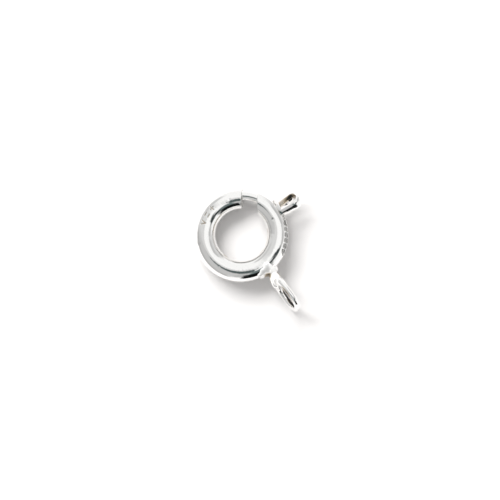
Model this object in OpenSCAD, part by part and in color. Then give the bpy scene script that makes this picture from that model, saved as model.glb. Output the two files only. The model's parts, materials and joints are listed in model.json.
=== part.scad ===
// Spring ring clasp: a hollow ring with a sprung bolt across its mouth, lying on a table.
// The origin is the ring's centre, +Z is up, the loop points along -Y and the trigger along +X.
// Angles round the ring run from +X towards +Y, in the ring's own plane.
// The ring lies tilted, because it rests on the far side of its tube and on its loop.

/* [Ring tube] */
// Outside diameter of the whole ring
ring_outer_d = 6; // [5.4:0.1:8]
// Outside diameter of the tube that the ring is bent from
tube_d = 1.35; // [1.2:0.05:1.6]
// Thickness of the tube's wall
tube_wall = 0.15; // [0.1:0.01:0.2]

/* [Mouth] */
// Width of the sawn mouth between the tube's two ends
mouth_w = 1.02; // [0.6:0.02:1.2]
// Direction of the tube end that takes the bolt's tip
mouth_angle = 53; // [50:1:60]

/* [Bolt] */
// Diameter of the bolt's wire
bolt_d = 0.6; // [0.4:0.02:0.66]
// How far the closed bolt reaches into the tube past the mouth
bolt_reach = 0.4; // [0.2:0.05:0.8]
// Length of the bolt behind the trigger
bolt_tail = 0.5; // [0.4:0.05:0.8]
// How far the dome on the bolt's tip stands out
bolt_dome = 0.16; // [0.08:0.01:0.18]
// Gap between the bolt and the outer side of the bore
bolt_clearance = 0.04; // [0.02:0.01:0.08]
// How far the bolt turns back when the clasp is opened, in degrees
bolt_travel = 44; // [36:1:46]

/* [Trigger] */
// Direction of the trigger when the clasp is closed
trigger_angle = -4.5; // [-6:0.5:2]
// How far the trigger stands out from the tube
trigger_l = 1.4; // [1.2:0.05:2]
// Width of the trigger's bow, outside
trigger_w = 1.18; // [1:0.02:1.3]
// Thickness of the trigger's strip
trigger_strip_t = 0.29; // [0.15:0.01:0.32]
// Width of the trigger's strip
trigger_strip_w = 0.6; // [0.5:0.02:0.8]
// How much each leg of the bow leans in towards the tube, in degrees
trigger_taper = 7; // [0:1:10]
// How far the bow is twisted about its own length, in degrees
trigger_twist = 38; // [0:1:45]
// Width of the trigger's foot along the slot
foot_w = 0.72; // [0.6:0.02:0.8]
// Height of the trigger's foot in the slot
foot_h = 0.66; // [0.4:0.02:0.7]

/* [Slot] */
// Gap between the trigger's foot and each side of the slot
slot_clearance = 0.06; // [0.03:0.01:0.08]
// How far the slot lies above the tube's outermost line, in degrees round the tube
slot_roll = 12; // [0:1:15]

/* [Attachment loop] */
// Direction of the attachment loop
loop_angle = -90; // [-95:1:-85]
// Outside diameter of the loop
loop_outer_d = 2.45; // [2:0.05:3]
// Diameter of the loop's wire
loop_wire_d = 0.32; // [0.25:0.01:0.5]
// How far the loop leans to the side, in degrees
loop_lean = 13.5; // [0:0.5:20]
// Length of the stem between the tube and the loop
stem_l = 0.58; // [0.45:0.01:0.9]
// Diameter of the stem at the tube
stem_root_d = 0.34; // [0.25:0.01:0.5]
// Diameter of the stem's solder bead at the loop
stem_head_d = 0.68; // [0.56:0.01:0.8]
// Length of the solder along the tube
solder_l = 1; // [0.7:0.05:1.4]
// Height of the solder along the tube, at its middle
solder_d = 0.54; // [0.4:0.02:0.7]
// Height of the solder along the tube, at its ends
solder_end_d = 0.4; // [0.3:0.02:0.39]
// How far the solder's centre line lies inside the tube's outermost line
solder_sink = 0.07; // [0:0.01:0.15]

/* [Spring] */
// Diameter of the spring's wire
spring_wire_d = 0.1; // [0.08:0.01:0.12]
// Number of the spring's turns
spring_turns = 17; // [12:1:20]
// Gap between the spring and the bore
spring_clearance = 0.04; // [0.03:0.01:0.08]
// Gap between the spring and what it stands against at each end
spring_seat_gap = 0.03; // [0.01:0.01:0.06]
// Direction of the stop that the spring stands against
stop_angle = -148; // [-170:1:-140]
// Thickness of the spring's stop
stop_t = 0.2; // [0.15:0.01:0.4]

/* [Hidden] */
$fn = 96;
silver = [0.86, 0.86, 0.85];
steel = [0.62, 0.63, 0.65];
SPRING_STEPS = 14;
SPRING_SIDES = 6;

ring_outer_r = ring_outer_d / 2;
tube_r = tube_d / 2;
ring_r = ring_outer_r - tube_r;
bore_r = tube_r - tube_wall;
// How far joined metal runs into its neighbour
overlap = tube_wall / 3;

bolt_r = bolt_d / 2;
bolt_path_r = ring_r + bore_r - bolt_clearance - bolt_r;
bolt_tip_angle = mouth_angle + degrees_of(bolt_reach, bolt_path_r);
bolt_tail_angle = trigger_angle - degrees_of(bolt_tail, bolt_path_r);
dome_r = bolt_r - overlap / 2;

slot_h = foot_h + 2 * slot_clearance;
foot_half_angle = degrees_of(foot_w / 2 + slot_clearance, ring_r + bore_r);
slot_from = trigger_angle - bolt_travel - foot_half_angle;
slot_to = trigger_angle + foot_half_angle;

bow_path_r = (trigger_w - trigger_strip_t) / 2;
bow_centre = tube_r + trigger_l - trigger_w / 2;
bow_base = tube_r + slot_clearance;
bow_leg_l = (bow_centre - bow_path_r * sin(trigger_taper) - bow_base) / cos(trigger_taper);

loop_path_r = (loop_outer_d - loop_wire_d) / 2;
loop_centre_r = ring_outer_r + stem_l + loop_outer_d / 2;
stem_head_at = ring_outer_r + stem_l + overlap;
solder_bow_r = barrel_radius(solder_l, solder_d, solder_end_d);

loop_drop = loop_path_r * cos(loop_lean) + loop_wire_d / 2;
rest_tilt = asin((loop_drop - tube_r) / (loop_centre_r + ring_r));

spring_coil_r = bore_r - spring_clearance - spring_wire_d / 2;
spring_seat = degrees_of(spring_seat_gap + spring_wire_d / 2, ring_r);
spring_from = stop_angle + degrees_of(stop_t / 2, ring_r) + spring_seat;
spring_to = bolt_tail_angle - spring_seat;

// Angle, in degrees, of an arc of a given length
function degrees_of(arc, radius) = arc / radius * 180 / PI;

// Radius of the arc that bulges from the end diameter to the middle diameter of a barrel
function barrel_radius(length, mid_d, end_d) =
    let (rise = (mid_d - end_d) / 2)
    (pow(length / 2, 2) + pow(rise, 2)) / (2 * rise);

function unit(v) = v / norm(v);

// The spring's centre line at a share of its length, from 0 to 1
function coil_point(share) =
    let (round_ring = spring_from + share * (spring_to - spring_from))
    let (round_coil = share * spring_turns * 360)
    let (reach = ring_r + spring_coil_r * cos(round_coil))
    [reach * cos(round_ring), reach * sin(round_ring), spring_coil_r * sin(round_coil)];

// Direction from the tube's centre line out to the spring's wire
function coil_side(share) =
    let (round_ring = spring_from + share * (spring_to - spring_from))
    unit(coil_point(share) - ring_r * [cos(round_ring), sin(round_ring), 0]);

function coil_section(share, step) =
    let (along = unit(coil_point(share + step / 2) - coil_point(share - step / 2)))
    let (up = unit(cross(along, coil_side(share))))
    let (side = cross(up, along))
    [for (i = [0 : SPRING_SIDES - 1])
        let (a = 360 * i / SPRING_SIDES)
        coil_point(share) + spring_wire_d / 2 * (cos(a) * side + sin(a) * up)];

// Turns the flat ring to the way it lies on the table
module at_rest() {
    rotate([-rest_tilt, 0, 0]) children();
}

// Sweeps a flat section round the ring, from one direction to another
module round_ring(from, to, radius) {
    rotate([0, 0, from]) rotate_extrude(angle = to - from) translate([radius, 0]) children();
}

// Places what stands out from the tube along the line through the middle of the slot
module at_slot(angle) {
    rotate([0, 0, angle]) translate([ring_r, 0, 0]) rotate([0, -slot_roll, 0]) children();
}

module tube() {
    rotate_extrude() translate([ring_r, 0]) circle(r = tube_r);
}

// The bore runs from the mouth both ways, up to the wall that the spring stands against
module bore() {
    mouth_middle = mouth_angle - degrees_of(mouth_w / 2, ring_r);
    stop_half = degrees_of(stop_t / 2, ring_r);
    round_ring(stop_angle + stop_half, mouth_middle, ring_r) circle(r = bore_r);
    round_ring(mouth_middle, stop_angle + 360 - stop_half, ring_r) circle(r = bore_r);
}

// Both ends of the tube are sawn square to one of them
module mouth() {
    rotate([0, 0, mouth_angle]) translate([0, -mouth_w, -tube_d]) cube([ring_outer_d, mouth_w, 2 * tube_d]);
}

// The slot is straight-sided for the trigger's foot and has round ends
module slot() {
    round_ring(slot_from, slot_to, ring_r)
        rotate(slot_roll) translate([0, -slot_h / 2]) square([tube_d, slot_h]);
    for (angle = [slot_from, slot_to]) {
        at_slot(angle) rotate([0, 90, 0]) cylinder(h = tube_d, r = slot_h / 2);
    }
}

// The loop stands on edge beside the ring, so that a link through it lies flat
module attachment_loop() {
    rotate([0, 0, loop_angle]) translate([loop_centre_r, 0, 0]) rotate([-loop_lean, 0, 0]) rotate([90, 0, 0])
        rotate_extrude() translate([loop_path_r, 0]) circle(r = loop_wire_d / 2);
}

// Stem that widens into a bead of solder where it meets the loop
module stem() {
    rotate([0, 0, loop_angle]) {
        translate([ring_outer_r - tube_wall, 0, 0]) rotate([0, 90, 0])
            cylinder(h = stem_head_at - ring_outer_r + tube_wall, d1 = stem_root_d, d2 = stem_head_d * 0.9);
        translate([stem_head_at, 0, 0]) sphere(d = stem_head_d);
    }
}

// Barrel of solder that lies along the tube at the foot of the stem
module solder() {
    rotate([0, 0, loop_angle]) translate([ring_outer_r - solder_sink, 0, 0]) rotate([90, 0, 0])
        rotate_extrude() intersection() {
            translate([solder_d / 2 - solder_bow_r, 0]) circle(r = solder_bow_r);
            translate([0, -solder_l / 2]) square([solder_d, solder_l]);
        }
}

module clasp_ring() {
    color(silver) at_rest() difference() {
        union() {
            tube();
            solder();
            stem();
            attachment_loop();
        }
        bore();
        mouth();
        slot();
    }
}

module bolt_wire() {
    round_ring(bolt_tail_angle, bolt_tip_angle, bolt_path_r) circle(r = bolt_r);
    rotate([0, 0, bolt_tip_angle]) translate([bolt_path_r, bolt_dome - dome_r, 0]) sphere(r = dome_r);
}

// Flat section of the trigger's strip, with its long edges broken
module strip_section() {
    t = trigger_strip_t / 2;
    w = trigger_strip_w / 2;
    cut = trigger_strip_t / 4;
    polygon([
        [-t + cut, -w], [t - cut, -w], [t, -w + cut], [t, w - cut],
        [t - cut, w], [-t + cut, w], [-t, w - cut], [-t, -w + cut]
    ]);
}

// Straight leg of the bow, which starts a little way inside the bend
module bow_leg() {
    bend_lap = overlap / 2;
    translate([bow_centre - bow_path_r * sin(trigger_taper), bow_path_r * cos(trigger_taper), 0])
        rotate([0, 0, trigger_taper]) translate([bend_lap, 0, 0])
        rotate([90, 0, -90]) linear_extrude(bow_leg_l + bend_lap) strip_section();
}

// Bow of strip bent to a pear-shaped loop, with its two ends on the foot
module trigger_bow() {
    sweep = 180 + 2 * trigger_taper;
    rotate([-trigger_twist, 0, 0]) {
        translate([bow_centre, 0, 0]) rotate([0, 0, -sweep / 2])
            rotate_extrude(angle = sweep) translate([bow_path_r, 0]) strip_section();
        bow_leg();
        mirror([0, 1, 0]) bow_leg();
    }
}

module trigger_foot() {
    foot_from = bore_r - bolt_r;
    translate([foot_from, -foot_w / 2, -foot_h / 2]) cube([bow_base + overlap - foot_from, foot_w, foot_h]);
}

module bolt() {
    color(silver) at_rest() {
        bolt_wire();
        at_slot(trigger_angle) {
            trigger_foot();
            trigger_bow();
        }
    }
}

// Coil of round wire, bent along the ring's bore
module spring() {
    count = spring_turns * SPRING_STEPS;
    step = 1 / count;
    sections = [for (i = [0 : count]) coil_section(i * step, step)];
    points = [for (section = sections) each section];
    last = count * SPRING_SIDES;
    sides = [for (i = [0 : count - 1], k = [0 : SPRING_SIDES - 1])
        let (a = i * SPRING_SIDES + k)
        let (b = i * SPRING_SIDES + (k + 1) % SPRING_SIDES)
        [a, a + SPRING_SIDES, b + SPRING_SIDES, b]];
    caps = [
        [for (k = [0 : SPRING_SIDES - 1]) k],
        [for (k = [SPRING_SIDES - 1 : -1 : 0]) last + k]
    ];
    color(steel) at_rest() polyhedron(points = points, faces = concat(sides, caps));
}

clasp_ring();
bolt();
spring();
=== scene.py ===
import json
import math

import bmesh
import bpy
from mathutils import Matrix, Vector, noise


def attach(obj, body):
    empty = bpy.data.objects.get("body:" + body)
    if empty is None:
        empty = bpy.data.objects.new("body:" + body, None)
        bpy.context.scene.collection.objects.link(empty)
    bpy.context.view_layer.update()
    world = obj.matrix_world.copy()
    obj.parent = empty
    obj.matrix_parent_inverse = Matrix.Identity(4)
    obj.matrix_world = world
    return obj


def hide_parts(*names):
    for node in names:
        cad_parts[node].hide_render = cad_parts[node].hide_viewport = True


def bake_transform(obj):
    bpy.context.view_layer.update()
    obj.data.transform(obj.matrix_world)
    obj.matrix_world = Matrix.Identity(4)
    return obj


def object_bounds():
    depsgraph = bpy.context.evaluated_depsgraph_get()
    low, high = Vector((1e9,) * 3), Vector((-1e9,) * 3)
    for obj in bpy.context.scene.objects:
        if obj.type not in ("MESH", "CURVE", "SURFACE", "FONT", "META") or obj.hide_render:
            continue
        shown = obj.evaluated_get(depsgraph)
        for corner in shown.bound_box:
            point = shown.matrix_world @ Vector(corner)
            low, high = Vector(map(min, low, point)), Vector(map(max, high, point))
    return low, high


# Spring ring clasp in polished silver, lying on a pale table.
# Shapes are drawn in millimetres in the ring's own flat plane, and settle() lays them down in the frame.
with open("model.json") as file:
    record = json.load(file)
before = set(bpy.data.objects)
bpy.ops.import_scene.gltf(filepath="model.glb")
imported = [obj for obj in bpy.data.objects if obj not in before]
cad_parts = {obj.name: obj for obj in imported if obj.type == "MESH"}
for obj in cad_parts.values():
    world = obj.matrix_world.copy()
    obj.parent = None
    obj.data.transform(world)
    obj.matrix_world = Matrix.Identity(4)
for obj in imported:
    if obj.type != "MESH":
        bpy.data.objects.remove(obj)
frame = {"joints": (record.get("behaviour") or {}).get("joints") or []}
solid_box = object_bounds()

# Sizes of the ring's tube, in millimetres
RING_OUTER_R = 3.0
TUBE_R = 0.675
WALL = 0.15
RING_R = RING_OUTER_R - TUBE_R
BORE_R = TUBE_R - WALL

# Mouth between the tube's two sawn ends
MOUTH_W = 1.02
MOUTH_ANGLE = math.radians(53)

# Bolt that slides in the tube
BOLT_R = 0.3
BOLT_REACH = 0.4
BOLT_TAIL = 0.5
BOLT_DOME = 0.16
BOLT_TAIL_DOME = 0.03
BOLT_CLEARANCE = 0.04
BOLT_TRAVEL = math.radians(44)
BOLT_PATH_R = RING_R + BORE_R - BOLT_CLEARANCE - BOLT_R

# Trigger that stands out through the slot
TRIGGER_ANGLE = math.radians(-4.5)
TRIGGER_L = 1.5
TRIGGER_W = 1.22
STRIP_T = 0.29
STRIP_W = 0.6
BOW_TAPER = math.radians(7)
BOW_TWIST = math.radians(43)
FOOT_W = 0.72
FOOT_H = 0.66
FOOT_ROUND = 0.07
BOW_PATH_R = (TRIGGER_W - STRIP_T) / 2
BOW_CENTRE = TUBE_R + TRIGGER_L - TRIGGER_W / 2
JOIN = 0.05

# Slot in the tube's outer side
SLOT_CLEARANCE = 0.06
SLOT_ROLL = math.radians(12)
SLOT_HALF = FOOT_H / 2 + SLOT_CLEARANCE
FOOT_HALF_ANGLE = (FOOT_W / 2 + SLOT_CLEARANCE) / (RING_R + BORE_R)
SLOT_FROM = TRIGGER_ANGLE - BOLT_TRAVEL - FOOT_HALF_ANGLE
SLOT_TO = TRIGGER_ANGLE + FOOT_HALF_ANGLE
BOW_BASE = TUBE_R + SLOT_CLEARANCE
BOW_LEG = (BOW_CENTRE - BOW_PATH_R * math.sin(BOW_TAPER) - BOW_BASE) / math.cos(BOW_TAPER)

# Attachment loop with its stem
LOOP_ANGLE = math.radians(-90)
LOOP_OUTER_R = 1.225
LOOP_WIRE_R = 0.185
LOOP_LEAN = math.radians(12)
LOOP_OFFSET = 0.04
STEM_L = 0.58
STEM_ROOT_R = 0.13
STEM_HEAD_R = 0.34
LOOP_PATH_R = LOOP_OUTER_R - LOOP_WIRE_R
LOOP_CENTRE = RING_OUTER_R + STEM_L + LOOP_OUTER_R
HEAD_AT = RING_OUTER_R + STEM_L + JOIN

# Spring in the bore, between the bolt's tail and its stop
SPRING_WIRE_R = 0.05
SPRING_TURNS = 17
SPRING_CLEARANCE = 0.04
SPRING_SEAT_GAP = 0.03
SPRING_COIL_R = BORE_R - SPRING_CLEARANCE - SPRING_WIRE_R
SPRING_SEAT = (SPRING_SEAT_GAP + SPRING_WIRE_R) / RING_R
STOP_ANGLE = math.radians(-148)
STOP_T = 0.2
BOLT_TIP_ANGLE = MOUTH_ANGLE + BOLT_REACH / BOLT_PATH_R
BOLT_TAIL_ANGLE = TRIGGER_ANGLE - BOLT_TAIL / BOLT_PATH_R
SPRING_FROM = STOP_ANGLE + STOP_T / 2 / RING_R + SPRING_SEAT
SPRING_TO = BOLT_TAIL_ANGLE - SPRING_SEAT

TURN = 2 * math.pi
MM = 0.001
REST_TILT = math.asin(-frame["joints"][0]["axis"][1])
AT_REST = Matrix.Rotation(-REST_TILT, 4, "X") @ Matrix.Scale(MM, 4)

# Faces that meet at more than this angle keep a sharp edge
CREASE_ANGLE = math.radians(50)


def smoothstep(low, high, value):
    share = min(1.0, max(0.0, (value - low) / (high - low)))
    return share * share * (3 - 2 * share)


def wrap(angle):
    """The same direction, between half a turn back and half a turn on."""
    return (angle + math.pi) % TURN - math.pi


def outward(theta):
    """Unit vector away from the ring's axis, at a direction round the ring."""
    return Vector((math.cos(theta), math.sin(theta), 0))


def in_tube(theta, out, up):
    """Point at a direction round the ring, given from the tube's middle line: away from the axis, and up."""
    return outward(theta) * (RING_R + out) + Vector((0, 0, up))


def moved(*steps):
    """One matrix from several, the last of which is done first."""
    whole = Matrix.Identity(4)
    for step in steps:
        whole = whole @ step
    return whole


def turn(angle, axis):
    return Matrix.Rotation(angle, 4, axis)


def shift(x, y, z):
    return Matrix.Translation((x, y, z))


def of_kind(geometry, kind):
    return [item for item in geometry if isinstance(item, kind)]


def gather(*parts):
    """One bmesh that holds the parts."""
    whole = bmesh.new()
    for part in parts:
        mesh = bpy.data.meshes.new("part")
        part.to_mesh(mesh)
        part.free()
        whole.from_mesh(mesh)
        bpy.data.meshes.remove(mesh)
    return whole


def next_rim(bm, edges):
    """Extrudes an open rim where it is, and gives the new rim's edges and points."""
    made = bmesh.ops.extrude_edge_only(bm, edges=edges)
    verts = of_kind(made["geom"], bmesh.types.BMVert)
    fresh = set(verts)
    edges = [edge for edge in of_kind(made["geom"], bmesh.types.BMEdge) if fresh.issuperset(edge.verts)]
    return edges, verts


def settle(name, bm, material):
    """Lays a finished piece down at rest, in metres, and gives it its finish."""
    bmesh.ops.transform(bm, matrix=AT_REST, verts=bm.verts)
    mesh = bpy.data.meshes.new(name)
    bm.to_mesh(mesh)
    bm.free()
    mesh.polygons.foreach_set("use_smooth", [True] * len(mesh.polygons))
    mesh.set_sharp_from_angle(angle=CREASE_ANGLE)
    mesh.materials.append(material)
    piece = bpy.data.objects.new(name, mesh)
    bpy.context.scene.collection.objects.link(piece)
    return piece


# Ring tube: a flat sheet is cut, thickened and rounded at its edges, and then bent to the ring
TUBE_COLUMNS = 320
TUBE_ROWS = 80
AT_SEAM = math.pi * TUBE_R - 0.0001
ON_SKIN = -0.001
MOUTH_ROUND = 0.028
SLOT_ROUND_OFF = 0.073

# Share of the sheet's length at which it starts to lean to the second sawn face
MOUTH_EASE = 0.86

# How far round the slot the mesh is evened and how often, and what counts as the rim of a cut
SLOT_NEAR = 0.4
SLOT_EVEN_PASSES = 30
SLOT_SMOOTH_PASSES = 20
RIM_ANGLE = 1
RIM_NEAR = 0.1


def mouth_end(alpha, reach):
    """Direction at which the second sawn face cuts the tube, where the first is at MOUTH_ANGLE."""
    return MOUTH_ANGLE + TURN - math.asin(MOUTH_W / (RING_R + reach * math.cos(alpha)))


def tube_sheet():
    """Sheet with its length round the ring along X, and its width round the tube along Y."""
    bm = bmesh.new()
    bmesh.ops.create_grid(bm, x_segments=TUBE_COLUMNS, y_segments=TUBE_ROWS, size=1)
    middle_end = mouth_end(math.pi / 2, TUBE_R)
    for vert in bm.verts:
        share = (vert.co.x + 1) / 2
        alpha = math.pi * vert.co.y
        theta = MOUTH_ANGLE + share * (middle_end - MOUTH_ANGLE)
        theta += smoothstep(MOUTH_EASE, 1, share) * (mouth_end(alpha, TUBE_R) - middle_end)
        vert.co = (theta * RING_OUTER_R, alpha * TUBE_R, 0)
    return bm


def slot_place(co):
    """How far a point of the sheet lies past the slot's end and across its middle line, and its direction."""
    theta = co.x / RING_OUTER_R - TURN
    off = co.y / TUBE_R - SLOT_ROLL
    across = TUBE_R * math.sin(max(-math.pi / 2, min(math.pi / 2, off)))
    nearest = min(max(theta, SLOT_FROM), SLOT_TO)
    return Vector(((theta - nearest) * RING_OUTER_R, across)), theta


def from_slot(co):
    """Distance of a point of the sheet from the slot's middle line."""
    return slot_place(co)[0].length


SLOT_STRAIGHT = (SLOT_TO - SLOT_FROM) * RING_OUTER_R
SLOT_QUARTER = SLOT_HALF * math.pi / 2
SLOT_ROUND = 2 * SLOT_STRAIGHT + 4 * SLOT_QUARTER


def slot_run(co):
    """Distance along the slot's outline from the tip of its first end, for the outline's nearest point."""
    place, theta = slot_place(co)
    if theta > SLOT_TO:
        return (SLOT_HALF * math.atan2(place.y, place.x)) % SLOT_ROUND
    if theta < SLOT_FROM:
        return SLOT_QUARTER * 2 + SLOT_STRAIGHT - SLOT_HALF * math.atan2(place.y, -place.x)
    if place.y > 0:
        return SLOT_QUARTER + (SLOT_TO - theta) * RING_OUTER_R
    return 3 * SLOT_QUARTER + SLOT_STRAIGHT + (theta - SLOT_FROM) * RING_OUTER_R


def slot_point(run):
    """The point of the slot's outline at that distance from the tip, on the sheet."""
    run %= SLOT_ROUND
    if run > SLOT_ROUND / 2:
        mirrored = slot_point(SLOT_ROUND - run)
        return Vector((mirrored.x, 2 * SLOT_ROLL * TUBE_R - mirrored.y, 0))
    if run < SLOT_QUARTER:
        angle = run / SLOT_HALF
        along = SLOT_TO * RING_OUTER_R + SLOT_HALF * math.cos(angle)
        across = SLOT_HALF * math.sin(angle)
    elif run < SLOT_QUARTER + SLOT_STRAIGHT:
        along = SLOT_TO * RING_OUTER_R - (run - SLOT_QUARTER)
        across = SLOT_HALF
    else:
        angle = (run - SLOT_QUARTER - SLOT_STRAIGHT) / SLOT_HALF
        along = SLOT_FROM * RING_OUTER_R - SLOT_HALF * math.sin(angle)
        across = SLOT_HALF * math.cos(angle)
    return Vector((along + TURN * RING_OUTER_R, TUBE_R * (SLOT_ROLL + math.asin(across / TUBE_R)), 0))


def cut_slot(bm):
    """Opens the slot in the sheet and evens the mesh round it."""
    border = {vert for vert in bm.verts if vert.is_boundary}
    inside = [face for face in bm.faces if from_slot(face.calc_center_median()) < SLOT_HALF]
    bmesh.ops.delete(bm, geom=inside, context="FACES")
    rim = [vert for vert in bm.verts if vert.is_boundary and vert not in border]
    rim.sort(key=lambda vert: slot_run(vert.co))
    runs = [slot_run(vert.co) for vert in rim]
    count = len(rim)
    for _ in range(SLOT_EVEN_PASSES):
        before = [runs[i - 1] - (SLOT_ROUND if i == 0 else 0) for i in range(count)]
        after = [runs[(i + 1) % count] + (SLOT_ROUND if i == count - 1 else 0) for i in range(count)]
        runs = [(before[i] + 2 * runs[i] + after[i]) / 4 for i in range(count)]
    for vert, run in zip(rim, runs):
        vert.co = slot_point(run)
    fixed = border | set(rim)
    near = [vert for vert in bm.verts if vert not in fixed and from_slot(vert.co) < SLOT_HALF + SLOT_NEAR]
    for _ in range(SLOT_SMOOTH_PASSES):
        bmesh.ops.smooth_vert(bm, verts=near, factor=0.5, use_axis_x=True, use_axis_y=True)


def thicken(bm):
    """Gives the sheet its wall, and rounds the edges of the mouth and the slot."""
    made = bmesh.ops.extrude_face_region(bm, geom=bm.faces[:], use_keep_orig=True)
    bmesh.ops.translate(bm, verts=of_kind(made["geom"], bmesh.types.BMVert), vec=(0, 0, -WALL))
    bmesh.ops.recalc_face_normals(bm, faces=bm.faces[:])
    walls = [face for face in bm.faces if all(abs(vert.co.y) > AT_SEAM for vert in face.verts)]
    bmesh.ops.delete(bm, geom=walls, context="FACES")
    rims = [edge for edge in bm.edges if len(edge.link_faces) == 2 and edge.calc_face_angle() > RIM_ANGLE]
    at_slot = [edge for edge in rims if from_slot(edge.verts[0].co) < SLOT_HALF + RIM_NEAR]
    at_mouth = [edge for edge in rims if edge not in set(at_slot)]
    for edges, amount in ((at_slot, SLOT_ROUND_OFF), (at_mouth, MOUTH_ROUND)):
        bmesh.ops.bevel(
            bm, geom=edges, offset=amount, offset_type="OFFSET", segments=4, profile=0.5,
            affect="EDGES", clamp_overlap=True, material=-1,
        )


# Pressed marks on the tube: plain shapes, each drawn as strokes round its own middle, in millimetres
MARK_ANGLE = math.radians(117)
MARK_ALPHA = math.radians(77)
MARK_STROKE = 0.06
MARK_DEPTH = 0.045
MARK_ZONE = (0.95, 0.34)
MARKS = [
    (-0.62, [((-0.12, 0), (0.12, 0)), ((0, 0.15), (0, -0.15))]),
    (-0.12, [((-0.1, 0.12), (0.1, 0.12)), ((-0.1, -0.12), (0.1, -0.12))]),
    (0.38, [((-0.11, -0.14), (0, 0.14)), ((0, 0.14), (0.11, -0.14))]),
]

# Small dents from use: direction round the ring, direction round the tube, radius and depth
DENTS = [
    (155, 58, 0.16, 0.016),
    (-13, 100, 0.14, 0.014),
    (-37, 118, 0.16, 0.014),
    (-62, 84, 0.1, 0.008),
    (-125, 96, 0.12, 0.01),
    (-160, 76, 0.1, 0.008),
    (72, 92, 0.12, 0.008),
]

# Slight unevenness of drawn and bent tube: depth, waves in a millimetre, and where each noise starts
WAVES = [
    (0.006, 0.9, (0, 0, 0)),
    (0.0016, 3.7, (7, 3, 1)),
    (0.0008, 9, (2, 9, 4)),
]

# Painted dark reflection of the shadowed floor along the low inner side of the hole's edge: from and to
# direction round the ring and its fade, in degrees, and where it comes in round the tube
PAINTED_EDGE_SPANS = [(-88, -18), (-174, -150)]
PAINTED_EDGE_FADE = 10
PAINTED_EDGE_REACH = (2.55, 2.9)

# How dark the painted reflection along the hole's edge is, and how dull the metal is in the marks and in the
# bore
PAINTED_EDGE_DARKNESS = 0.5
MARK_DULL = 0.42
BORE_DULL = 0.06

# Depth in the wall at which the polish gives way to the bore's matte face
MATTE_DEPTH = (0.06, 0.13)


def painted_edge_reflection(theta, alpha):
    """Painted dark reflection at the low inner side of the hole's edge: how dark it is at a point."""
    turned = math.degrees(wrap(theta))
    shares = [
        smoothstep(low, low + PAINTED_EDGE_FADE, turned) * (1 - smoothstep(high - PAINTED_EDGE_FADE, high, turned))
        for low, high in PAINTED_EDGE_SPANS
    ]
    return PAINTED_EDGE_DARKNESS * smoothstep(*PAINTED_EDGE_REACH, abs(wrap(alpha))) * max(shares)


def stroke_distance(point, start, end):
    start, end = Vector(start), Vector(end)
    line = end - start
    share = max(0.0, min(1.0, (point - start).dot(line) / line.length_squared))
    return (point - start - share * line).length


def from_marks(theta, alpha):
    """Where a point lies from the middle of the marks: along the ring and round the tube."""
    return Vector((wrap(theta - MARK_ANGLE) * RING_R, wrap(alpha - MARK_ALPHA) * TUBE_R))


def in_mark_zone(place):
    return abs(place.x) < MARK_ZONE[0] and abs(place.y) < MARK_ZONE[1]


def wear(theta, alpha):
    """How deep the outer face is pressed in at a point, and how far that is in a mark."""
    depth = 0.0
    marked = 0.0
    place = from_marks(theta, alpha)
    if in_mark_zone(place):
        for middle, strokes in MARKS:
            local = place - Vector((middle, 0))
            near = min(stroke_distance(local, *stroke) for stroke in strokes)
            marked = max(marked, 1 - smoothstep(0, MARK_STROKE, near))
        depth = MARK_DEPTH * marked
    for dent_theta, dent_alpha, radius, deep in DENTS:
        along = wrap(theta - math.radians(dent_theta)) * RING_R
        round_tube = wrap(alpha - math.radians(dent_alpha)) * TUBE_R
        depth += deep * (1 - smoothstep(0, radius, math.hypot(along, round_tube)))
    return depth, marked


def ripple(point):
    return sum(depth * noise.noise(point * waves + Vector(start)) for depth, waves, start in WAVES)


def refine_marks(bm):
    """Splits the sheet's outer faces where the marks are pressed in."""
    zone = set()
    for face in bm.faces:
        middle = face.calc_center_median()
        place = from_marks(middle.x / RING_OUTER_R, middle.y / TUBE_R)
        if middle.z > ON_SKIN and in_mark_zone(place):
            zone.add(face)
    edges = [edge for edge in bm.edges if not zone.isdisjoint(edge.link_faces)]
    bmesh.ops.subdivide_edges(bm, edges=edges, cuts=3, use_grid_fill=True)


def bend_tube(bm):
    """Bends the sheet round tube and ring, with parallel lips at the slot and flat sawn ends."""
    tarnish_and_shade_layer = bm.verts.layers.float.new("tarnish_and_shade_value")
    matte = bm.verts.layers.float.new("matte")
    seam = [vert for vert in bm.verts if abs(vert.co.y) > AT_SEAM]
    lip = math.asin(SLOT_HALF / TUBE_R)
    for vert in bm.verts:
        theta = vert.co.x / RING_OUTER_R
        alpha = vert.co.y / TUBE_R
        reach = TUBE_R + vert.co.z
        outer = vert.co.z > -WALL / 2
        share = (theta - MOUTH_ANGLE) / (mouth_end(alpha, TUBE_R) - MOUTH_ANGLE)
        theta += smoothstep(MOUTH_EASE, 1, share) * (mouth_end(alpha, reach) - mouth_end(alpha, TUBE_R))
        off = alpha - SLOT_ROLL
        wider = math.asin(SLOT_HALF / reach) - lip
        if abs(off) < lip:
            off *= 1 + wider / lip
        else:
            off += math.copysign(wider * (math.pi - abs(off)) / (math.pi - lip), off)
        alpha = SLOT_ROLL + off
        pressed, marked = wear(theta, alpha) if outer else (0, 0)
        # Real tarnish in the pressed marks, and painted dark reflection along the hole's edge
        tarnish_and_shade_amount = max(MARK_DULL * marked, painted_edge_reflection(theta, alpha)) if outer else 0
        vert[matte] = smoothstep(*MATTE_DEPTH, TUBE_R - reach)
        vert[tarnish_and_shade_layer] = max(BORE_DULL * vert[matte], tarnish_and_shade_amount)
        centre = outward(theta) * RING_R
        out = outward(theta) * math.cos(alpha) + Vector((0, 0, math.sin(alpha)))
        reach += ripple(centre + out * TUBE_R) - pressed
        vert.co = centre + out * reach
    bmesh.ops.remove_doubles(bm, verts=seam, dist=0.0005)


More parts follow.
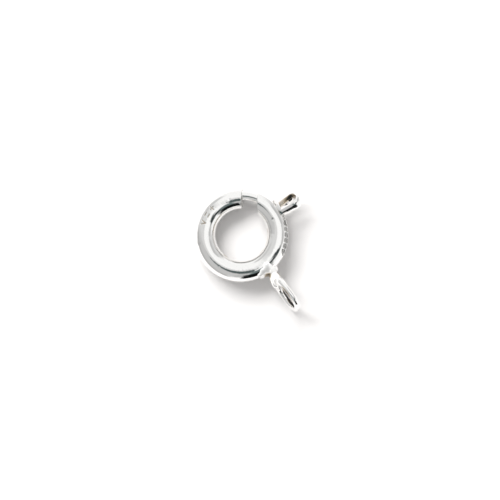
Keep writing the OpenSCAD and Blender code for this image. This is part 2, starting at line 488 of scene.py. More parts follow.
def spring_stop():
    """Wall across the bore that the spring stands against."""
    bm = bmesh.new()
    bmesh.ops.create_cone(
        bm, cap_ends=True, segments=48, radius1=BORE_R + JOIN, radius2=BORE_R + JOIN, depth=STOP_T,
        matrix=moved(turn(STOP_ANGLE, "Z"), shift(RING_R, 0, 0), turn(math.pi / 2, "X")),
    )
    return bm


def ring_tube():
    bm = tube_sheet()
    cut_slot(bm)
    thicken(bm)
    refine_marks(bm)
    bend_tube(bm)
    return gather(bm, spring_stop())


# Attachment loop: built from plain turned shapes, fused, and smoothed as solder flows.
# Sections of its stem: distance out, middle along the ring, half width and half height
STEM = [
    (RING_OUTER_R - WALL, 0.06, STEM_ROOT_R, STEM_ROOT_R),
    (RING_OUTER_R + 0.02, 0.08, STEM_ROOT_R + 0.03, STEM_ROOT_R + 0.02),
    (RING_OUTER_R + 0.26, 0.08, 0.29, 0.24),
    (RING_OUTER_R + 0.5, 0.05, 0.37, 0.32),
    (HEAD_AT + 0.16, 0.02, 0.41, STEM_HEAD_R),
    (HEAD_AT + 0.36, 0.02, 0.38, 0.26),
    (HEAD_AT + 0.48, 0.02, 0.2, 0.12),
]

# Beads of solder: middle and half sizes, each out from the ring, along the ring and up
BLOBS = [
    ((RING_OUTER_R - 0.06, 0.04, -0.02), (0.26, 0.44, 0.3)),
    ((RING_OUTER_R - 0.02, 0.38, 0), (0.25, 0.24, 0.3)),
    ((RING_OUTER_R - 0.16, -0.44, 0.08), (0.24, 0.32, 0.3)),
]

# Flat beads on the tube's skin: direction round the tube, place along the ring, and half sizes
MOUNDS = [
    (36, -0.5, (0.22, 0.28, 0.13)),
    (50, 0.12, (0.4, 0.3, 0.15)),
    (44, -0.24, (0.3, 0.34, 0.12)),
    (24, 0.1, (0.3, 0.34, 0.2)),
]
MOUND_R = 0.6

# Plate under the beads: half its spread round the ring and round the tube, its depth and its thickness
PATCH_THETA = math.radians(15)
PATCH_ALPHA = math.radians(52)
PATCH_SUNK = 0.012
PATCH_T = 0.11

# The loop's corners, its shoulders beside the stem, and how the parts are fused
LOOP_SQUARE = 2.5
SHOULDER = 0.55
SHOULDER_REACH = (0.5, 1.25)
FUSE_GRAIN = 0.016
FUSE_PASSES = 7
SOLDER_REACH = 0.3
SOLDER_PASSES = 50

# Painted shade in a spot at the stem's root: its middle, how far out it fades, and how dark it is
ROOT_SPOT = Vector((-0.2, -RING_OUTER_R - 0.1, 0.14))
ROOT_SPREAD = (0.1, 0.34)
ROOT_SHADE = 0.68

# Painted dark reflection on the steep sides of the stem: where past the tube it comes in and ends, on how
# steep faces, and how dark it is
BESIDE_FROM = (0.02, 0.2)
BESIDE_TO = (0.45, 0.8)
BESIDE_STEEP = (0.7, 0.95)
BESIDE_SHADE = 0.6

# Painted shade on the loop's inner faces, which darkens the gap between its wires: where it comes in, where
# the far side begins, how far out in the wire it goes, and how squarely a face has to look inwards, which is
# eased at the far side
INNER_FROM = (HEAD_AT + 0.5, HEAD_AT + 0.8)
FAR_FROM = (LOOP_CENTRE - 0.1, LOOP_CENTRE + 0.25)
INNER_RIM = (LOOP_PATH_R + 0.02, LOOP_OUTER_R)
INWARDS = (0.4, 0.6)
FAR_EASE = (0.5, 0.4)

# How matte the solder is, how much less the loop is, and where the one gives way to the other
SOLDER_MATTE = 0.75
MATTE_LOSS = 0.6
MATTE_FADE = (RING_OUTER_R + 0.2, HEAD_AT + 0.5)

# How much closer together the loop's waves are than the tube's
LOOP_WAVES = 1.6

# Turns X to Y, Y to Z and Z to X
CYCLED = Matrix(((0, 0, 1, 0), (1, 0, 0, 0), (0, 1, 0, 0), (0, 0, 0, 1)))


def torus(path_r, wire_r, steps, sides):
    bm = bmesh.new()
    bmesh.ops.create_circle(
        bm, segments=sides, radius=wire_r, matrix=moved(shift(path_r, 0, 0), turn(math.pi / 2, "X"))
    )
    bmesh.ops.spin(
        bm, geom=bm.verts[:] + bm.edges[:], cent=(0, 0, 0), axis=(0, 0, 1), angle=TURN,
        steps=steps, use_merge=True,
    )
    bmesh.ops.recalc_face_normals(bm, faces=bm.faces[:])
    return bm


def squared(bm):
    """Draws a ring in the XY plane a little out at its corners, and thickens it towards its stem."""
    for vert in bm.verts:
        angle = math.atan2(vert.co.y, vert.co.x)
        path = outward(angle) * LOOP_PATH_R
        both = abs(math.cos(angle)) ** LOOP_SQUARE + abs(math.sin(angle)) ** LOOP_SQUARE
        corner = both ** (-1 / LOOP_SQUARE)
        thicker = 1 + SHOULDER * (1 - smoothstep(*SHOULDER_REACH, math.pi - abs(angle)))
        vert.co = path * corner + (vert.co - path) * thicker


def tube_patch():
    """Curved plate inside the tube's wall under the solder, which carries it."""
    bm = bmesh.new()
    bmesh.ops.create_grid(bm, x_segments=24, y_segments=24, size=1)
    made = bmesh.ops.extrude_face_region(bm, geom=bm.faces[:], use_keep_orig=True)
    bmesh.ops.translate(bm, verts=of_kind(made["geom"], bmesh.types.BMVert), vec=(0, 0, -1))
    bmesh.ops.recalc_face_normals(bm, faces=bm.faces[:])
    for vert in bm.verts:
        alpha = PATCH_ALPHA * vert.co.y
        reach = TUBE_R - PATCH_SUNK + PATCH_T * vert.co.z
        theta = LOOP_ANGLE + PATCH_THETA * vert.co.x
        vert.co = in_tube(theta, reach * math.cos(alpha), reach * math.sin(alpha))
    return bm


def blob(middle, size, lean=0.0):
    bm = bmesh.new()
    bmesh.ops.create_uvsphere(
        bm, u_segments=32, v_segments=20, radius=1,
        matrix=moved(turn(LOOP_ANGLE, "Z"), shift(*middle), turn(lean, "Y"), Matrix.Diagonal((*size, 1))),
    )
    return bm


def mound(alpha, along, size):
    rise = math.radians(alpha)
    middle = (RING_R + MOUND_R * math.cos(rise), along, MOUND_R * math.sin(rise))
    return blob(middle, size, math.pi / 2 - rise)


def stem():
    """Neck that widens from the tube to the loop's shoulders."""
    bm = bmesh.new()
    verts = bmesh.ops.create_circle(bm, segments=40, radius=1, matrix=CYCLED)["verts"]
    edges = bm.edges[:]
    last_middle, last_wide, last_high = 0, 1, 1
    for count, (out, middle, wide, high) in enumerate(STEM):
        if count:
            edges, verts = next_rim(bm, edges)
        for vert in verts:
            angle = math.atan2(vert.co.z / last_high, (vert.co.y - last_middle) / last_wide)
            vert.co = (out, middle + wide * math.cos(angle), high * math.sin(angle))
        last_middle, last_wide, last_high = middle, wide, high
    bmesh.ops.holes_fill(bm, edges=bm.edges[:], sides=0)
    bmesh.ops.recalc_face_normals(bm, faces=bm.faces[:])
    bmesh.ops.transform(bm, matrix=turn(LOOP_ANGLE, "Z"), verts=bm.verts)
    return bm


def fused(bm):
    """Makes one skin of the parts that overlap, and smooths it, most of all at the solder."""
    mesh = bpy.data.meshes.new("to_fuse")
    bm.to_mesh(mesh)
    bm.free()
    work = bpy.data.objects.new("to_fuse", mesh)
    bpy.context.scene.collection.objects.link(work)
    skin = work.modifiers.new("skin", "REMESH")
    skin.mode = "VOXEL"
    skin.voxel_size = FUSE_GRAIN
    ready = work.evaluated_get(bpy.context.evaluated_depsgraph_get()).to_mesh()
    whole = bmesh.new()
    whole.from_mesh(ready)
    bpy.data.objects.remove(work)
    bpy.data.meshes.remove(mesh)
    solder = [vert for vert in whole.verts if vert.co.y > -RING_OUTER_R - SOLDER_REACH]
    for verts, passes in ((whole.verts[:], FUSE_PASSES), (solder, SOLDER_PASSES)):
        for _ in range(passes):
            bmesh.ops.smooth_vert(
                whole, verts=verts, factor=0.5, use_axis_x=True, use_axis_y=True, use_axis_z=True
            )
    return whole


def loop_painted_shade(place, normal):
    """How dark the painted shade on the loop and its stem is at a point of their skin."""
    out = -place.y
    past_tube = out - RING_OUTER_R
    at_root = ROOT_SHADE * (1 - smoothstep(*ROOT_SPREAD, (place - ROOT_SPOT).length))
    at_stem = smoothstep(*BESIDE_FROM, past_tube) * (1 - smoothstep(*BESIDE_TO, past_tube))
    beside = BESIDE_SHADE * at_stem * smoothstep(*BESIDE_STEEP, abs(normal.x))
    at_loop = smoothstep(*INNER_FROM, out)
    inside = 1 - smoothstep(*INNER_RIM, math.hypot(out - LOOP_CENTRE, place.z))
    facing = -normal.x if place.x > LOOP_OFFSET else normal.x
    far = smoothstep(*FAR_FROM, out)
    inwards = smoothstep(INWARDS[0] - FAR_EASE[0] * far, INWARDS[1] - FAR_EASE[1] * far, facing)
    return max(at_root, beside, at_loop * inside * inwards)


def soldered_loop():
    loop = torus(LOOP_PATH_R, LOOP_WIRE_R, steps=160, sides=32)
    squared(loop)
    place = moved(
        turn(LOOP_ANGLE, "Z"),
        shift(LOOP_CENTRE, LOOP_OFFSET, 0),
        turn(-LOOP_LEAN, "X"),
        turn(math.pi / 2, "X"),
    )
    bmesh.ops.transform(loop, matrix=place, verts=loop.verts)
    beads = [blob(*bead) for bead in BLOBS] + [mound(*bead) for bead in MOUNDS]
    bm = fused(gather(loop, stem(), tube_patch(), *beads))
    tarnish_and_shade_layer = bm.verts.layers.float.new("tarnish_and_shade_value")
    matte = bm.verts.layers.float.new("matte")
    bm.normal_update()
    for vert in bm.verts:
        # Painted shade and dark reflection at the stem's root, beside the stem and inside the loop
        vert[tarnish_and_shade_layer] = loop_painted_shade(vert.co, vert.normal)
        vert[matte] = SOLDER_MATTE - MATTE_LOSS * smoothstep(*MATTE_FADE, -vert.co.y)
        vert.co += vert.normal * ripple(vert.co * LOOP_WAVES)
    return bm


# Bolt and trigger
DOME_STEPS = 8
STRIP_SQUARE = 2.2
LEG_STEPS = 4

# Share by which the bow's inner faces draw together at its root
LEG_FILL = 0.5

# How dark the painted shade on the bow's inner side is: everywhere, on its low leg, and in its bend
BOW_SHADE = 0.1
LOW_LEG_SHADE = 0.8
BEND_SHADE = 0.34

# Where those begin and end: the inner side, the low leg across and up the strip, and the bend
INNER_SIDE = (BOW_PATH_R - 0.12, BOW_PATH_R + 0.02)
LOW_LEG_ACROSS = (-0.1, 0.25)
LOW_LEG_UP = (-0.02, 0.16)
BEND_FROM = (BOW_CENTRE + 0.05, BOW_CENTRE + 0.3)

# Share of the low leg's painted shade at its root, and what it gains up to the bend
LEG_ROOT_SHARE = 0.45
LEG_GAIN = 0.55


def round_end(bm, edges, base, way, bulge):
    """Closes the open end of a wire round its middle, base, with a dome that stands out by bulge."""
    for step in range(DOME_STEPS):
        before = math.pi / 2 * step / DOME_STEPS
        after = math.pi / 2 * (step + 1) / DOME_STEPS
        was = base + way * bulge * math.sin(before)
        now = base + way * bulge * math.sin(after)
        edges, verts = next_rim(bm, edges)
        for vert in verts:
            vert.co = now + (vert.co - was) * math.cos(after) / math.cos(before)
    bmesh.ops.remove_doubles(bm, verts=verts, dist=0.001)


def bolt_wire():
    bm = bmesh.new()
    bmesh.ops.create_circle(
        bm, segments=48, radius=BOLT_R,
        matrix=moved(turn(BOLT_TAIL_ANGLE, "Z"), shift(BOLT_PATH_R, 0, 0), turn(math.pi / 2, "X")),
    )
    tail = bm.edges[:]
    made = bmesh.ops.spin(
        bm, geom=bm.verts[:] + bm.edges[:], cent=(0, 0, 0), axis=(0, 0, 1),
        angle=BOLT_TIP_ANGLE - BOLT_TAIL_ANGLE, steps=110, use_merge=False,
    )
    tip = of_kind(made["geom_last"], bmesh.types.BMEdge)
    ends = ((tip, BOLT_TIP_ANGLE, 1, BOLT_DOME), (tail, BOLT_TAIL_ANGLE, -1, BOLT_TAIL_DOME))
    for edges, angle, side, bulge in ends:
        way = side * Vector((-math.sin(angle), math.cos(angle), 0))
        round_end(bm, edges, outward(angle) * BOLT_PATH_R, way, bulge)
    bmesh.ops.recalc_face_normals(bm, faces=bm.faces[:])
    return bm


def strip_section(matrix):
    """Section of the trigger's strip: flat, with rounded edges and slightly crowned sides."""
    bm = bmesh.new()
    bmesh.ops.create_circle(bm, cap_ends=True, segments=48, radius=1)
    power = 2 / STRIP_SQUARE
    for vert in bm.verts:
        angle = math.atan2(vert.co.y, vert.co.x)
        across = math.copysign(abs(math.cos(angle)) ** power, math.cos(angle))
        along = math.copysign(abs(math.sin(angle)) ** power, math.sin(angle))
        vert.co = (across * STRIP_T / 2, along * STRIP_W / 2, 0)
    bmesh.ops.transform(bm, matrix=moved(matrix, turn(math.pi / 2, "X")), verts=bm.verts)
    return bm


def push_out(bm, faces, way):
    """Extrudes an end face along way, and gives the new end face."""
    for _ in range(LEG_STEPS):
        made = bmesh.ops.extrude_face_region(bm, geom=faces)
        bmesh.ops.translate(bm, verts=of_kind(made["geom"], bmesh.types.BMVert), vec=way / LEG_STEPS)
        faces = of_kind(made["geom"], bmesh.types.BMFace)
    return faces


def bow_painted_shade(place):
    """How dark the painted shade is at a point of the bow's inner side."""
    inward = math.hypot(max(0, place.x - BOW_CENTRE), place.y)
    inner = 1 - smoothstep(*INNER_SIDE, inward)
    low_leg = smoothstep(*LOW_LEG_ACROSS, place.y) * smoothstep(*LOW_LEG_UP, place.z)
    low_leg *= LEG_ROOT_SHARE + LEG_GAIN * smoothstep(BOW_BASE, BOW_CENTRE, place.x)
    bend = smoothstep(*BEND_FROM, place.x)
    return inner * (BOW_SHADE + LOW_LEG_SHADE * low_leg * (1 - bend) + BEND_SHADE * bend)


def trigger_bow():
    """Strip bent to a pear-shaped bow: up one leg, round the bend and down the other leg."""
    sweep = math.pi + 2 * BOW_TAPER
    leg = Vector((-math.cos(BOW_TAPER), -math.sin(BOW_TAPER), 0)) * BOW_LEG
    root = moved(shift(*leg), shift(BOW_CENTRE, 0, 0), turn(sweep / 2, "Z"), shift(BOW_PATH_R, 0, 0))
    bm = strip_section(root)
    faces = push_out(bm, bm.faces[:], -leg)
    made = bmesh.ops.spin(
        bm, geom=faces, cent=(BOW_CENTRE, 0, 0), axis=(0, 0, 1), angle=-sweep, steps=48, use_merge=False
    )
    faces = of_kind(made["geom_last"], bmesh.types.BMFace)
    push_out(bm, faces, Vector((leg.x, -leg.y, 0)))
    tarnish_and_shade_layer = bm.verts.layers.float.new("tarnish_and_shade_value")
    for vert in bm.verts:
        leg_middle = BOW_PATH_R - max(0, BOW_CENTRE - vert.co.x) * math.tan(BOW_TAPER)
        if abs(vert.co.y) < leg_middle:
            vert.co.y *= 1 - LEG_FILL * smoothstep(BOW_CENTRE, BOW_BASE, vert.co.x)
        # Painted shade on the bow's inner side
        vert[tarnish_and_shade_layer] = bow_painted_shade(vert.co)
    bmesh.ops.recalc_face_normals(bm, faces=bm.faces[:])
    bmesh.ops.transform(bm, matrix=turn(-BOW_TWIST, "X"), verts=bm.verts)
    return bm


def trigger_foot():
    """Block that carries the bow on the bolt, through the slot."""
    low = BORE_R - BOLT_R
    high = BOW_BASE + JOIN
    block = moved(shift((low + high) / 2, 0, 0), Matrix.Diagonal((high - low, FOOT_W, FOOT_H, 1)))
    bm = bmesh.new()
    bmesh.ops.create_cube(bm, size=1, matrix=block)
    bmesh.ops.bevel(
        bm, geom=bm.edges[:], offset=FOOT_ROUND, offset_type="OFFSET", segments=4, profile=0.5,
        affect="EDGES", clamp_overlap=True, material=-1,
    )
    return bm


def bolt():
    trigger = gather(trigger_bow(), trigger_foot())
    at_slot = moved(turn(TRIGGER_ANGLE, "Z"), shift(RING_R, 0, 0), turn(-SLOT_ROLL, "Y"))
    bmesh.ops.transform(trigger, matrix=at_slot, verts=trigger.verts)
    return gather(trigger, bolt_wire())


# Spring: a straight coil, bent along the ring
SPRING_STEPS = 30


def spring():
    length = (SPRING_TO - SPRING_FROM) * RING_R
    steps = SPRING_TURNS * SPRING_STEPS
    bm = bmesh.new()
    bmesh.ops.create_circle(
        bm, cap_ends=True, segments=10, radius=SPRING_WIRE_R,
        matrix=moved(shift(SPRING_COIL_R, 0, 0), turn(math.pi / 2, "X")),
    )
    bmesh.ops.spin(
        bm, geom=bm.faces[:], cent=(0, 0, 0), axis=(0, 0, 1), angle=TURN * SPRING_TURNS,
        dvec=(0, 0, length / steps), steps=steps, use_merge=False,
    )
    bmesh.ops.recalc_face_normals(bm, faces=bm.faces[:])
    for vert in bm.verts:
        vert.co = in_tube(SPRING_TO - vert.co.z / RING_R, vert.co.x, vert.co.y)
    return bm


# Finishes
def socket(tree, value, target):
    """Feeds a number, a colour or another node's output into a socket."""
    if isinstance(value, bpy.types.NodeSocket):
        tree.links.new(value, target)
    else:
        target.default_value = value


def calc(tree, operation, *values):
    node = tree.nodes.new("ShaderNodeMath")
    node.operation = operation
    for value, target in zip(values, node.inputs):
        socket(tree, value, target)
    return node.outputs[0]


def ranged(tree, value, low, high, start=0.0, end=1.0):
    """Turns low to start and high to end, and stays there beyond them."""
    node = tree.nodes.new("ShaderNodeMapRange")
    node.interpolation_type = "SMOOTHSTEP"
    inputs = {"Value": value, "From Min": low, "From Max": high, "To Min": start, "To Max": end}
    for label, fed in inputs.items():
        socket(tree, fed, node.inputs[label])
    return node.outputs["Result"]


def mixed(tree, share, first, second):
    node = tree.nodes.new("ShaderNodeMix")
    node.data_type = "RGBA"
    socket(tree, share, node.inputs["Factor"])
    socket(tree, first, node.inputs["A"])
    socket(tree, second, node.inputs["B"])
    return node.outputs["Result"]


def grain_noise(tree, place, scale, detail=2.0):
    node = tree.nodes.new("ShaderNodeTexNoise")
    socket(tree, place, node.inputs["Vector"])
    node.inputs["Scale"].default_value = scale
    node.inputs["Detail"].default_value = detail
    return node.outputs["Fac"]


def attribute(tree, name):
    """A piece's own number at each point, such as how much tarnish and painted shade it carries."""
    node = tree.nodes.new("ShaderNodeAttribute")
    node.attribute_name = name
    return node.outputs["Fac"]


def new_group(name, inputs, outputs):
    """Node group with its sockets, its input node and its output node."""
    group = bpy.data.node_groups.new(name, "ShaderNodeTree")
    for label, kind, value in inputs:
        entry = group.interface.new_socket(label, in_out="INPUT", socket_type=kind)
        if value is not None:
            entry.default_value = value
    for label, kind in outputs:
        group.interface.new_socket(label, in_out="OUTPUT", socket_type=kind)
    return group, group.nodes.new("NodeGroupInput"), group.nodes.new("NodeGroupOutput")


# Polishing lines: turn, stretch, and how many in a metre, and the part of their sum that shows
POLISH_LINES = ((0.4, 14, 9000), (1.7, 18, 12000), (2.6, 11, 7000))
POLISH_RANGE = (1.2, 1.9)

# Unevenness under the lines, in a metre, and how much it and the lines roughen the metal
UNEVEN_SCALE = 1400
POLISH_ROUGH = 0.07

# Patches in the tarnish and painted shade, in a metre: the part of their noise that shows, and the shares it
# turns to
PATCH_SCALE = 2200
PATCH_RANGE = (0.3, 0.7)
PATCH_SHARE = (0.6, 1)

# Tarnish and shade amounts at which the tarnish tint and then the near-black painted shade come in, from and
# to
TINT_RANGE = (0, 0.5)
PAINTED_SHADE_RANGE = (0.4, 0.75)


def polish_group():
    """Fine polishing lines in several directions, and the slight unevenness under them."""
    group, given, result = new_group(
        "polish",
        [
            ("Place", "NodeSocketVector", None),
            ("Lines", "NodeSocketFloat", 0.5),
            ("Base", "NodeSocketFloat", 0.1),
        ],
        [("Height", "NodeSocketFloat"), ("Roughness", "NodeSocketFloat")],
    )
    lines = []
    for angle, stretch, scale in POLISH_LINES:
        mapping = group.nodes.new("ShaderNodeMapping")
        mapping.inputs["Rotation"].default_value = (angle, angle * 0.7, angle * 1.3)
        mapping.inputs["Scale"].default_value = (1, 1 / stretch, 1)
        group.links.new(given.outputs["Place"], mapping.inputs["Vector"])
        lines.append(grain_noise(group, mapping.outputs["Vector"], scale))
    sum_of = calc(group, "ADD", calc(group, "ADD", lines[0], lines[1]), lines[2])
    fine = ranged(group, sum_of, *POLISH_RANGE)
    broad = grain_noise(group, given.outputs["Place"], UNEVEN_SCALE, detail=3)
    height = calc(group, "ADD", calc(group, "MULTIPLY", fine, given.outputs["Lines"]), broad)
    group.links.new(height, result.inputs["Height"])
    varied = calc(group, "MULTIPLY", calc(group, "ADD", broad, fine), POLISH_ROUGH)
    group.links.new(calc(group, "ADD", given.outputs["Base"], varied), result.inputs["Roughness"])
    return group


def tone_group():
    """Clean metal that turns to its tarnish tint, and to near-black painted shade where the value is highest:
    the value is real tarnish in the marks and dullness in the bore, and painted shade and reflection on the
    hole's edge, the loop and the bow.
    """
    group, given, result = new_group(
        "tone",
        [
            ("Place", "NodeSocketVector", None),
            ("Tarnish And Shade Value", "NodeSocketFloat", 0.0),
            ("Clean", "NodeSocketColor", (1, 1, 1, 1)),
            ("Tarnish And Shade Tint", "NodeSocketColor", (0.5, 0.4, 0.3, 1)),
            ("Painted Shade Colour", "NodeSocketColor", (0.03, 0.03, 0.03, 1)),
        ],
        [("Color", "NodeSocketColor"), ("Tarnish And Shade Amount", "NodeSocketFloat")],
    )
    patches = grain_noise(group, given.outputs["Place"], PATCH_SCALE, detail=4)
    patchy = ranged(group, patches, *PATCH_RANGE, *PATCH_SHARE)
    tarnish_and_shade_amount = calc(group, "MULTIPLY", given.outputs["Tarnish And Shade Value"], patchy)
    tinted = mixed(group, ranged(group, tarnish_and_shade_amount, *TINT_RANGE), given.outputs["Clean"], given.outputs["Tarnish And Shade Tint"])
    painted_shade_share = ranged(group, tarnish_and_shade_amount, *PAINTED_SHADE_RANGE)
    group.links.new(mixed(group, painted_shade_share, tinted, given.outputs["Painted Shade Colour"]), result.inputs["Color"])
    group.links.new(tarnish_and_shade_amount, result.inputs["Tarnish And Shade Amount"])
    return group


POLISH = polish_group()
TONE = tone_group()

# How much tarnish and painted shade roughen the metal, how metallic it still is where matte, and its relief's
# depth
DULL_ROUGH = 0.22
MATTE_METAL = 0.25
RELIEF = 0.004 * MM


def metal(name, clean, tarnish_and_shade_tint, rough, lines, bump):
    """Polished metal: its two colours, its roughness, its polishing lines and their relief."""
    material = bpy.data.materials.new(name)
    material.use_nodes = True
    tree = material.node_tree
    shader = tree.nodes["Principled BSDF"]
    place = tree.nodes.new("ShaderNodeTexCoord").outputs["Object"]
    polish = tree.nodes.new("ShaderNodeGroup")
    polish.node_tree = POLISH
    tone = tree.nodes.new("ShaderNodeGroup")
    tone.node_tree = TONE
    for node in (polish, tone):
        tree.links.new(place, node.inputs["Place"])
    polish.inputs["Base"].default_value = rough
    polish.inputs["Lines"].default_value = lines
    tree.links.new(attribute(tree, "tarnish_and_shade_value"), tone.inputs["Tarnish And Shade Value"])
    tone.inputs["Clean"].default_value = (*clean, 1)
    tone.inputs["Tarnish And Shade Tint"].default_value = (*tarnish_and_shade_tint, 1)
    tree.links.new(tone.outputs["Color"], shader.inputs["Base Color"])
    rougher = calc(tree, "MULTIPLY", tone.outputs["Tarnish And Shade Amount"], DULL_ROUGH)
    tree.links.new(calc(tree, "ADD", polish.outputs["Roughness"], rougher), shader.inputs["Roughness"])
    tree.links.new(ranged(tree, attribute(tree, "matte"), 0, 1, 1, MATTE_METAL), shader.inputs["Metallic"])
    relief = tree.nodes.new("ShaderNodeBump")
    relief.inputs["Strength"].default_value = bump
    relief.inputs["Distance"].default_value = RELIEF
    tree.links.new(polish.outputs["Height"], relief.inputs["Height"])
    tree.links.new(relief.outputs["Normal"], shader.inputs["Normal"])
    return material


SILVER = metal(
    "polished_silver", clean=(0.96, 0.955, 0.94), tarnish_and_shade_tint=(0.5, 0.42, 0.31), rough=0.03, lines=0.5, bump=0.3
)
STEEL = metal(
    "spring_steel", clean=(0.94, 0.94, 0.94), tarnish_and_shade_tint=(0.32, 0.3, 0.28), rough=0.3, lines=1.0, bump=0.6
)

tube_piece = settle("ring_tube", ring_tube(), SILVER)
loop_piece = settle("soldered_loop", soldered_loop(), SILVER)
bolt_piece = settle("bolt_and_trigger", bolt(), SILVER)
spring_piece = settle("coil_spring", spring(), STEEL)

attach(tube_piece, "ring")
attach(loop_piece, "ring")
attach(bolt_piece, "slider")
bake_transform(spring_piece)
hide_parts("clasp_ring")
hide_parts("clasp_ring")
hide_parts("bolt")
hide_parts("spring")

# Photograph's view: nearly straight down, from a little to the loop's side
FRAME_PIXELS = 500
RING_PIXELS = 95
RING_CENTRE_PIXEL = (241.7, 234.9)
PIXEL = 2 * RING_OUTER_R / RING_PIXELS * MM
PHOTO_UP = math.radians(53.4)
VIEW_LEAN = math.radians(4.8)
VIEW_DISTANCE = 0.3

up_flat = Vector((math.cos(PHOTO_UP), math.sin(PHOTO_UP), 0))
right_flat = Vector((math.sin(PHOTO_UP), -math.cos(PHOTO_UP), 0))
view_back = Vector((0, -math.sin(VIEW_LEAN), math.cos(VIEW_LEAN)))
view_up = (up_flat - view_back * up_flat.dot(view_back)).normalized()
view_right = view_up.cross(view_back)
half_frame = FRAME_PIXELS / 2
aim = right_flat * (half_frame - RING_CENTRE_PIXEL[0]) * PIXEL
aim -= up_flat * (half_frame - RING_CENTRE_PIXEL[1]) * PIXEL

camera_data = bpy.data.cameras.new("photo_view")
camera_data.lens = camera_data.sensor_width * VIEW_DISTANCE / (FRAME_PIXELS * PIXEL)
camera_data.clip_start = 0.01
camera_data.clip_end = 20
camera = bpy.data.objects.new("photo_view", camera_data)
bpy.context.scene.collection.objects.link(camera)
view_turn = Matrix((view_right, view_up, view_back)).transposed().to_4x4()
camera.matrix_world = Matrix.Translation(aim + view_back * VIEW_DISTANCE) @ view_turn
bpy.context.scene.camera = camera

# Pale floor under the clasp
FLOOR_HALF = 3
FLOOR_COLOUR = (0.71, 0.697, 0.69, 1)

floor_bm = bmesh.new()
floor_level = shift(0, 0, solid_box[0].z)
bmesh.ops.create_grid(floor_bm, x_segments=1, y_segments=1, size=FLOOR_HALF, matrix=floor_level)
floor_mesh = bpy.data.meshes.new("floor")
floor_bm.to_mesh(floor_mesh)
floor_bm.free()
floor = bpy.data.objects.new("floor", floor_mesh)
bpy.context.scene.collection.objects.link(floor)
floor_paint = bpy.data.materials.new("white_table")
floor_paint.use_nodes = True
floor_shader = floor_paint.node_tree.nodes["Principled BSDF"]
floor_shader.inputs["Base Color"].default_value = FLOOR_COLOUR
floor_shader.inputs["Roughness"].default_value = 0.9
floor_shader.inputs["Specular IOR Level"].default_value = 0.1
floor_mesh.materials.append(floor_paint)


# Studio: a sky of soft light with darker screens in it, and one large soft light
def toward(photo_azimuth, zenith):
    """Direction at an angle clockwise from the photograph's up, and an angle from the view's own axis."""
    across = view_up * math.cos(photo_azimuth) + view_right * math.sin(photo_azimuth)
    return across * math.sin(zenith) + view_back * math.cos(zenith)


def screen_group():
    """Mask of a soft-edged screen in the sky, given by its middle direction's front, side and axis."""
    group, given, result = new_group(
        "screen",
        [
            ("Direction", "NodeSocketVector", None),
            ("Front", "NodeSocketVector", None),
            ("Side", "NodeSocketVector", None),
            ("Axis", "NodeSocketVector", None),
            ("Half Width", "NodeSocketFloat", 0.5),
            ("Low", "NodeSocketFloat", 0.2),
            ("High", "NodeSocketFloat", 0.8),
            ("Soft", "NodeSocketFloat", 0.05),
        ],
        [("Mask", "NodeSocketFloat")],
    )

    def part(name):
        node = group.nodes.new("ShaderNodeVectorMath")
        node.operation = "DOT_PRODUCT"
        group.links.new(given.outputs["Direction"], node.inputs[0])
        group.links.new(given.outputs[name], node.inputs[1])
        return node.outputs["Value"]

    def edge(value, at, rising):
        low = calc(group, "SUBTRACT", at, given.outputs["Soft"])
        high = calc(group, "ADD", at, given.outputs["Soft"])
        return ranged(group, value, low, high, 0 if rising else 1, 1 if rising else 0)

    azimuth = calc(group, "ABSOLUTE", calc(group, "ARCTAN2", part("Side"), part("Front")))
    zenith = calc(group, "ARCCOSINE", part("Axis"))
    wide = edge(azimuth, given.outputs["Half Width"], False)
    above = edge(zenith, given.outputs["Low"], True)
    below = edge(zenith, given.outputs["High"], False)
    tall = calc(group, "MULTIPLY", above, below)
    group.links.new(calc(group, "MULTIPLY", wide, tall), result.inputs["Mask"])
    return group


# Screens in the sky: from and to azimuth, from and to zenith, softness, all in degrees, and brightness
SCREENS = [
    (-30, 60, 24, 120, 12, 0.97),
    (280, 322, 6, 110, 8, 0.7),
    (296, 332, 62, 84, 5, 0.6),
    (204, 286, 20, 100, 8, 0.56),
    (206, 282, 72, 104, 6, 0.44),
    (176, 206, 26, 70, 8, 0.5),
    (26, 84, 62, 110, 10, 0.66),
    (28, 66, 44, 66, 5, 0.52),
    (66, 94, 40, 62, 8, 0.5),
    (172, 276, 5, 28, 4, 0.11),
    (93, 116, 14, 50, 5, 0.05),
    (114, 142, 25, 46, 4, 0.05),
    (126, 142, 45, 62, 4, 0.3),
    (138, 178, 22, 48, 5, 0.18),
    (132, 150, 60, 93, 3, 0.02),
    (138, 186, 45, 94, 3, 0.006),
]
SKY = (1, 1, 1, 1)

# Screens below this brightness are slightly blue
DARK = 0.2
DARK_RED = 0.8

# Even light that falls on dull surfaces, and what the camera sees behind the floor's far edge
FILL = 0.74
BACKDROP = 0.97

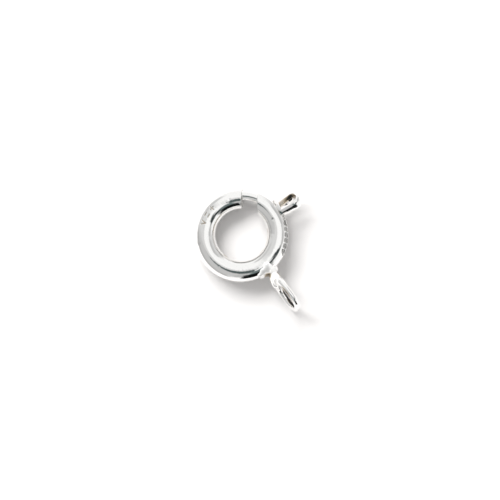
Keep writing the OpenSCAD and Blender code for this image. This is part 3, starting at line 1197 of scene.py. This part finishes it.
world = bpy.data.worlds.new("studio")
bpy.context.scene.world = world
world.use_nodes = True
sky_tree = world.node_tree
sky_tree.nodes.clear()
SCREEN = screen_group()
direction = sky_tree.nodes.new("ShaderNodeTexCoord").outputs["Generated"]
colour = SKY
for az_from, az_to, zen_from, zen_to, soft, level in SCREENS:
    screen = sky_tree.nodes.new("ShaderNodeGroup")
    screen.node_tree = SCREEN
    sky_tree.links.new(direction, screen.inputs["Direction"])
    middle_az = math.radians((az_from + az_to) / 2)
    screen.inputs["Front"].default_value = toward(middle_az, math.pi / 2)
    screen.inputs["Side"].default_value = toward(middle_az + math.pi / 2, math.pi / 2)
    screen.inputs["Axis"].default_value = view_back
    screen.inputs["Half Width"].default_value = math.radians((az_to - az_from) / 2)
    screen.inputs["Low"].default_value = math.radians(zen_from)
    screen.inputs["High"].default_value = math.radians(zen_to)
    screen.inputs["Soft"].default_value = math.radians(soft)
    red = level if level > DARK else DARK_RED * level
    colour = mixed(sky_tree, screen.outputs["Mask"], colour, (red, level, level, 1))
lighting = sky_tree.nodes.new("ShaderNodeBackground")
socket(sky_tree, colour, lighting.inputs["Color"])
shown = lighting.outputs["Background"]
ray = sky_tree.nodes.new("ShaderNodeLightPath")
for kind, level in (("Is Diffuse Ray", FILL), ("Is Camera Ray", BACKDROP)):
    even = sky_tree.nodes.new("ShaderNodeBackground")
    even.inputs["Color"].default_value = (level, level, level, 1)
    choose = sky_tree.nodes.new("ShaderNodeMixShader")
    sky_tree.links.new(ray.outputs[kind], choose.inputs["Fac"])
    sky_tree.links.new(shown, choose.inputs[1])
    sky_tree.links.new(even.outputs["Background"], choose.inputs[2])
    shown = choose.outputs["Shader"]
sky_out = sky_tree.nodes.new("ShaderNodeOutputWorld")
sky_tree.links.new(shown, sky_out.inputs["Surface"])

KEY_AZIMUTH = math.radians(325)
KEY_ZENITH = math.radians(52)
KEY_DISTANCE = 8
KEY_SIZE = (8.4, 4)
KEY_POWER = 1000

key_data = bpy.data.lights.new("soft_key", "AREA")
key_data.shape = "ELLIPSE"
key_data.size, key_data.size_y = KEY_SIZE
key_data.energy = KEY_POWER
key = bpy.data.objects.new("soft_key", key_data)
bpy.context.scene.collection.objects.link(key)
key.visible_glossy = False
key_way = toward(KEY_AZIMUTH, KEY_ZENITH)
key_turn = key_way.to_track_quat("Z", "Y").to_matrix().to_4x4()
key.matrix_world = Matrix.Translation(key_way * KEY_DISTANCE) @ key_turn

bpy.context.scene.view_settings.view_transform = "Standard"
